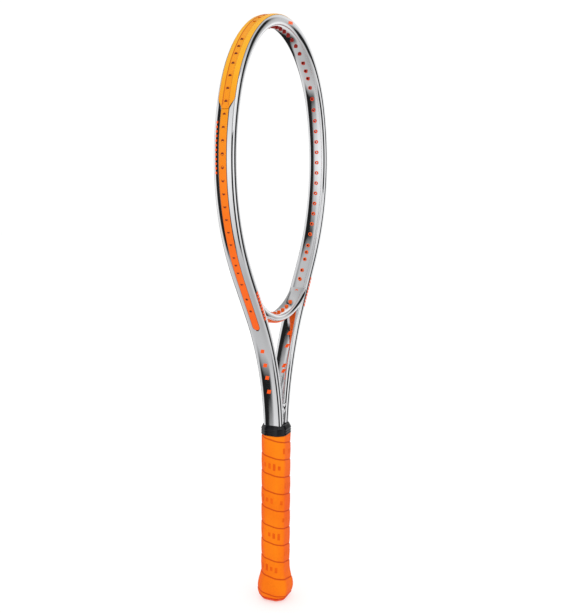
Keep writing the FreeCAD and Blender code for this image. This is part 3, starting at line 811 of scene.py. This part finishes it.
def printed_marks():
    """Plain bars, ticks, blocks and dashes. They stand for the frame's printing and say nothing."""
    parts = []
    shaft = (318 * MM, 300 * MM, 284 * MM, 266 * MM)
    for z in shaft:
        start = at_height(z)
        for side in (-1, 1):
            end = start + 5.2 * MM
            parts.append(patch("block", side, "outer", start, end, -2.4 * MM, 2.2 * MM, 1.6 * MM))
    for index in range(9):
        start = at_height(386 * MM) + index * 4.6 * MM
        for side in (-1, 1):
            high = (4.9 - 0.7 * (index % 3)) * MM
            parts.append(patch("tick", side, "front", start, start + 3.2 * MM, -1.4 * MM, high, MM))
    for index in range(12):
        start = at_height(560 * MM) + index * 4.4 * MM
        for side in (-1, 1):
            parts.append(patch("dash", side, "outer", start, start + 2.2 * MM, 6.4 * MM, 8.6 * MM))
    for side in (-1, 1):
        for z in (322, 308, 286, 280):
            start = at_height(z * MM)
            end = start + 4.6 * MM
            parts.append(patch("inside_bar", side, "inner", start, end, -5.0 * MM, -1.0 * MM, 2.0 * MM))
    parts.append(patch("top_bar", 1, "front", 1 * MM, 13 * MM, -1.6 * MM, 1.6 * MM, 2.0 * MM))
    return join_objects("printed_marks", parts)


# ======================================== the handle =====================================
GRIP_HALF_X = 16.6 * MM
GRIP_HALF_Y = 15.4 * MM
BEVEL_X = 6.7 * MM
BEVEL_Y = 7.5 * MM
FLARE_GROWTH = 4.2 * MM
FLARE_WIDEST_Z = 14.5 * MM
FLARE_TOP_Z = 40.0 * MM
BUTT_ROUNDING = 9.0 * MM
CORNER_POWER = 18


def grip_radius(angle, growth):
    """The eight-sided grip outline in polar form, its corners rounded."""
    slope = math.hypot(BEVEL_X, BEVEL_Y)
    bevel = (BEVEL_Y / slope, BEVEL_X / slope)
    reach = GRIP_HALF_X * bevel[0] + (GRIP_HALF_Y - BEVEL_Y) * bevel[1]
    c, s = abs(math.cos(angle)), abs(math.sin(angle))
    walls = ((c, GRIP_HALF_X), (s, GRIP_HALF_Y), (c * bevel[0] + s * bevel[1], reach))
    total = sum((part / (wall + growth)) ** CORNER_POWER for part, wall in walls)
    return total ** (-1 / CORNER_POWER)


def flare(z):
    """How far the butt end stands out past the straight grip."""
    if z >= FLARE_TOP_Z:
        return 0.0
    if z >= FLARE_WIDEST_Z:
        turn = math.pi * (z - FLARE_WIDEST_Z) / (FLARE_TOP_Z - FLARE_WIDEST_Z)
        return FLARE_GROWTH * (1 + math.cos(turn)) / 2
    fall = (FLARE_WIDEST_Z - z) / FLARE_WIDEST_Z
    return FLARE_GROWTH - BUTT_ROUNDING * (1 - math.sqrt(max(0.0, 1 - fall ** 2)))


def wrap_phase(angle, z):
    """0 to 1 across the width of one turn of the wrap. The seam falls as the angle grows."""
    return (z / WRAP_PITCH + angle / (2 * math.pi) + WRAP_START) % 1.0


def wrap_relief(angle, z):
    """Height of the wound strip's surface: a seam groove, rolled edges and a slight crown."""
    phase = wrap_phase(angle, z)
    across = min(phase, 1 - phase) * WRAP_PITCH
    groove = math.exp(-(across / (0.75 * MM)) ** 2)
    overlap = 0.35 * MM * (phase - 0.5)
    crown = 0.25 * MM * math.sin(math.pi * phase)
    return overlap + crown - 0.55 * MM * groove - 0.3 * MM


def wrap_shell():
    """The wound grip, from the butt cap's lip to under the collar."""
    columns = 168
    heights = spaced(WRAP_LOW[2], WRAP_HIGH[2], 0.55 * MM)
    rings = []
    for z in heights:
        row = []
        edge = 0.9 * MM * math.exp(-((z - WRAP_LOW[2]) / (0.7 * MM)) ** 2)
        for j in range(columns):
            angle = 2 * math.pi * j / columns
            radius = grip_radius(angle, flare(z)) + wrap_relief(angle, z) - edge
            row.append((radius * math.cos(angle), radius * math.sin(angle), z))
        rings.append(row)
    return loft("grip_wrap_wound", rings, GRIP)


def emboss(angle_start, angle_end, z_low, z_high):
    """A shallow raised block pressed into the grip, between two angles and two heights."""
    rows, columns = 6, 9
    points = []
    for i in range(rows):
        for j in range(columns):
            angle = angle_start + (angle_end - angle_start) * j / (columns - 1)
            drop = WRAP_PITCH * (angle - angle_start) / (2 * math.pi)
            z = z_low + (z_high - z_low) * i / (rows - 1) - drop
            inside = 0 < i < rows - 1 and 0 < j < columns - 1
            lift = 0.10 * MM if inside else -0.05 * MM
            radius = grip_radius(angle, flare(z)) + wrap_relief(angle, z) + lift
            points.append((radius * math.cos(angle), radius * math.sin(angle), z))
    return mesh_object("emboss", points, grid_faces(rows, columns, False), [EMBOSS])


def embossed_blocks():
    """Plain bars of three heights, pressed into every second turn of the wrap."""
    parts = []
    turns = int((WRAP_HIGH[2] - FLARE_TOP_Z) / WRAP_PITCH)
    for turn in range(0, turns, 2):
        for column in range(18):
            if column % 6 == 5:
                continue
            angle = math.radians(20 * column + 25 * turn)
            centre = FLARE_TOP_Z + WRAP_PITCH * (turn + 0.5)
            middle = centre + (0.5 - wrap_phase(angle, centre)) * WRAP_PITCH
            if FLARE_TOP_Z < middle < WRAP_HIGH[2] - 8 * MM:
                half = (3.0 + column % 3) * MM
                parts.append(emboss(angle, angle + math.radians(12), middle - half, middle + half))
    return join_objects("grip_embossing", parts)


def collar_shell():
    """The rubber ring: a rolled lower edge, three raised rings, and a top that draws in to the shafts."""
    low, high = COLLAR_LOW[2], COLLAR_HIGH[2]
    span = high - low
    profile = [(0.0, -1.6 * MM), (0.0, -0.2 * MM), (0.3 * MM, 0.25 * MM), (0.9 * MM, 0.4 * MM)]
    for centre in (2.5 * MM, 5.4 * MM):
        profile += [(centre - 1.0 * MM, 0.4 * MM), (centre - 0.6 * MM, 0.0), (centre, -0.1 * MM),
                    (centre + 0.6 * MM, 0.0), (centre + 1.0 * MM, 0.4 * MM)]
    profile += [(7.4 * MM, 0.35 * MM), (8.6 * MM, -0.2 * MM), (10.2 * MM, -1.0 * MM),
                (span - 0.5 * MM, -1.7 * MM), (span, -2.2 * MM), (span, -3.0 * MM),
                (span - 0.8 * MM, -3.8 * MM), (span - 3.0 * MM, -4.6 * MM)]
    columns = 144
    rings = []
    for rise, growth in profile:
        row = []
        for j in range(columns):
            angle = 2 * math.pi * j / columns
            radius = grip_radius(angle, growth)
            row.append((radius * math.cos(angle), radius * math.sin(angle), low + rise))
        rings.append(row)
    return loft("grip_collar_moulded", rings, RUBBER)


# ==================================== build the racket ===================================
belongs(frame_shell(), "frame_chrome", "frame_tube")
belongs(bridge_shell(), "frame_chrome", "throat_bridge")
belongs(throat_web(), "frame_chrome")

guard = band_mesh("bumper_guard_moulded", guard_stations(), guard_profile, 1.0 * MM, BAND, guard_shade_tone)
belongs(guard, "guard_amber", "bumper_guard")
# A thin near-black band round the guard's edge: painted shadow where the guard meets the tube, hung with the
# collar's black slot name.
guard_shadow = band_mesh("guard_edge_shadow", guard_stations(0.3 * MM), shadow_line_profile, 0.5 * MM, EDGE_SHADOW)
belongs(guard_shadow, "collar_black")
belongs(barrels("guard_barrels", GUARD_HOLES), "guard_amber")
belongs(mouths("guard_hole_mouths", GUARD_HOLES, -0.18 * MM), "guard_amber")

for side, side_name in ((1, "right"), (-1, "left")):
    strip = band_mesh("strip_" + side_name, strip_stations(side), strip_profile, 0.5 * MM, BAND)
    belongs(strip, "strip_orange", "grommet_strip_" + side_name)
    # A thin near-black band round each strip's edge: painted shadow where the strip meets the tube.
    shadow_line_stations = strip_stations(side, 0.35 * MM)
    line = band_mesh("strip_edge_shadow_" + side_name, shadow_line_stations, shadow_line_profile, 0.5 * MM, EDGE_SHADOW)
    belongs(line, "collar_black")
    holes = STRIP_HOLES if side > 0 else [hole.mirrored() for hole in STRIP_HOLES]
    belongs(barrels("strip_barrels_" + side_name, holes), "strip_orange")
    belongs(mouths("strip_hole_mouths_" + side_name, holes, 0.24 * MM), "strip_orange")

belongs(barrels("bridge_barrels", BRIDGE_HOLES), "strip_orange")
belongs(printed_marks(), "strip_orange")
belongs(wrap_shell(), "grip_orange", "grip_wrap")
belongs(embossed_blocks(), "grip_orange")
belongs(collar_shell(), "collar_black", "grip_collar")

NODE_MATERIALS = {
    "bridge_grommet_strip": BAND, "handle_pallet_front": FOAM, "handle_pallet_back": FOAM, "butt_cap": CAP,
    "butt_cap_door": CAP, "butt_cap_staples": STEEL, "grip_wrap_staple": STEEL, "finishing_tape": TAPE,
    "frame_tube": CHROME, "throat_bridge": CHROME, "bumper_guard": BAND, "grommet_strip_left": BAND,
    "grommet_strip_right": BAND, "grip_wrap": GRIP, "grip_collar": RUBBER,
}
for node_name, material in NODE_MATERIALS.items():
    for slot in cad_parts[node_name].material_slots:
        slot.material = material


# ======================================= the studio ======================================
def floor():
    """A pale sweep of floor, bright enough to run into the white surroundings."""
    size = 6.0
    corners = [(-size, -size, 0), (size, -size, 0), (size, size, 0), (-size, size, 0)]
    shader = Shader("studio_floor")
    tone = shader.ramp(shader.noise(3.0), [(0.2, (0.50, 0.50, 0.50)), (0.8, (0.53, 0.53, 0.53))])
    shader.link(tone, shader.surface.inputs["Base Color"])
    shader.set(Roughness=0.9, Specular_IOR_Level=0.1, Emission_Color=(1, 1, 1, 1), Emission_Strength=0.52)
    plane = mesh_object("studio_floor", corners, [(0, 1, 2, 3)], [shader.material], smooth=False)
    plane.location.z = -0.2 * MM
    # Mirrors see the tent all round, and not the floor.
    plane.visible_glossy = False


# The tent fades from white at eye level to TENT_TOP overhead and underfoot. Card angles are degrees:
# half the width, the reach above and below eye level, and the width of the soft edge.
TENT_TOP = 0.35
CARD_HALF_WIDTH = 20.0
CARD_REACH = 50.0
CARD_FADE = 10.0
CARD_SHADE = 0.02
TENT_STRENGTH = 1.02


def surroundings():
    """A plain white tent with one soft black card at each corner. The cards repeat every quarter turn and
    show only in reflections. The camera and matt surfaces see plain white."""
    world = bpy.data.worlds.new("studio")
    bpy.context.scene.world = world
    world.use_nodes = True
    nodes = world.node_tree.nodes
    links = world.node_tree.links
    background = nodes["Background"]
    place = nodes.new("ShaderNodeTexCoord")
    split = nodes.new("ShaderNodeSeparateXYZ")
    links.new(place.outputs["Generated"], split.inputs["Vector"])

    def calculate(operation, *values, clamp=False):
        made = nodes.new("ShaderNodeMath")
        made.operation = operation
        made.use_clamp = clamp
        for socket, value in zip(made.inputs, values):
            if isinstance(value, (int, float)):
                socket.default_value = value
            else:
                links.new(value, socket)
        return made.outputs["Value"]

    def nearer_than(distance, limit):
        """1 inside an angle, 0 outside, with a soft edge."""
        return calculate("MULTIPLY_ADD", distance, -1 / CARD_FADE, 0.5 + limit / CARD_FADE, clamp=True)

    turn = calculate("ARCTAN2", split.outputs["Y"], split.outputs["X"])
    azimuth = calculate("MULTIPLY", turn, 180 / math.pi)
    elevation = calculate("MULTIPLY", calculate("ARCSINE", split.outputs["Z"]), 180 / math.pi)
    quarter = calculate("MODULO", calculate("ADD", azimuth, 180.0), 90.0)
    from_corner = calculate("ABSOLUTE", calculate("SUBTRACT", quarter, 45.0))
    height = calculate("ABSOLUTE", elevation)
    card = calculate("MULTIPLY", nearer_than(from_corner, CARD_HALF_WIDTH), nearer_than(height, CARD_REACH))
    overhead = calculate("MULTIPLY", height, 1 / 90)
    tent = calculate("MULTIPLY_ADD", overhead, TENT_TOP - 1.0, 1.0)
    shade = calculate("MULTIPLY", tent, calculate("MULTIPLY_ADD", card, CARD_SHADE - 1.0, 1.0))
    path = nodes.new("ShaderNodeLightPath")
    plain = calculate("MAXIMUM", path.outputs["Is Camera Ray"], path.outputs["Is Diffuse Ray"])
    links.new(calculate("MAXIMUM", shade, plain), background.inputs["Color"])
    background.inputs["Strength"].default_value = TENT_STRENGTH


def soft_light(name, place, aim, size, power):
    data = bpy.data.lights.new(name, "AREA")
    data.energy = power
    data.size = size
    lamp = bpy.data.objects.new(name, data)
    bpy.context.scene.collection.objects.link(lamp)
    lamp.location = place
    lamp.rotation_euler = (Vector(aim) - Vector(place)).to_track_quat("-Z", "Y").to_euler()


def camera():
    """Eye level with the middle of the hoop, looking along the string plane from one side."""
    stand_off = 0.9528
    bearing = math.radians(23.54)
    eye_z = 0.4949
    aim = math.radians(22.87)
    pitch = math.radians(8.11)
    roll = math.radians(0.436)
    forward = Vector((math.cos(aim) * math.cos(pitch), math.sin(aim) * math.cos(pitch), -math.sin(pitch)))
    right = forward.cross(Vector((0, 0, 1))).normalized()
    up = right.cross(forward)
    rolled_right = right * math.cos(roll) + up * math.sin(roll)
    rolled_up = up * math.cos(roll) - right * math.sin(roll)
    data = bpy.data.cameras.new("camera")
    data.sensor_width = 36.0
    data.lens = 48.37
    view = bpy.data.objects.new("camera", data)
    bpy.context.scene.collection.objects.link(view)
    turn = Matrix((rolled_right, rolled_up, -forward)).transposed()
    eye = Vector((-stand_off * math.cos(bearing), -stand_off * math.sin(bearing), eye_z))
    view.matrix_world = Matrix.Translation(eye) @ turn.to_4x4()
    bpy.context.scene.camera = view


floor()
surroundings()
soft_light("key", (-1.2, -1.4, 1.6), (0, 0, 0.35), 1.2, 4.0)
soft_light("fill", (1.4, 1.2, 1.2), (0, 0, 0.35), 1.4, 2.0)
camera()
bpy.context.scene.view_settings.view_transform = "Standard"
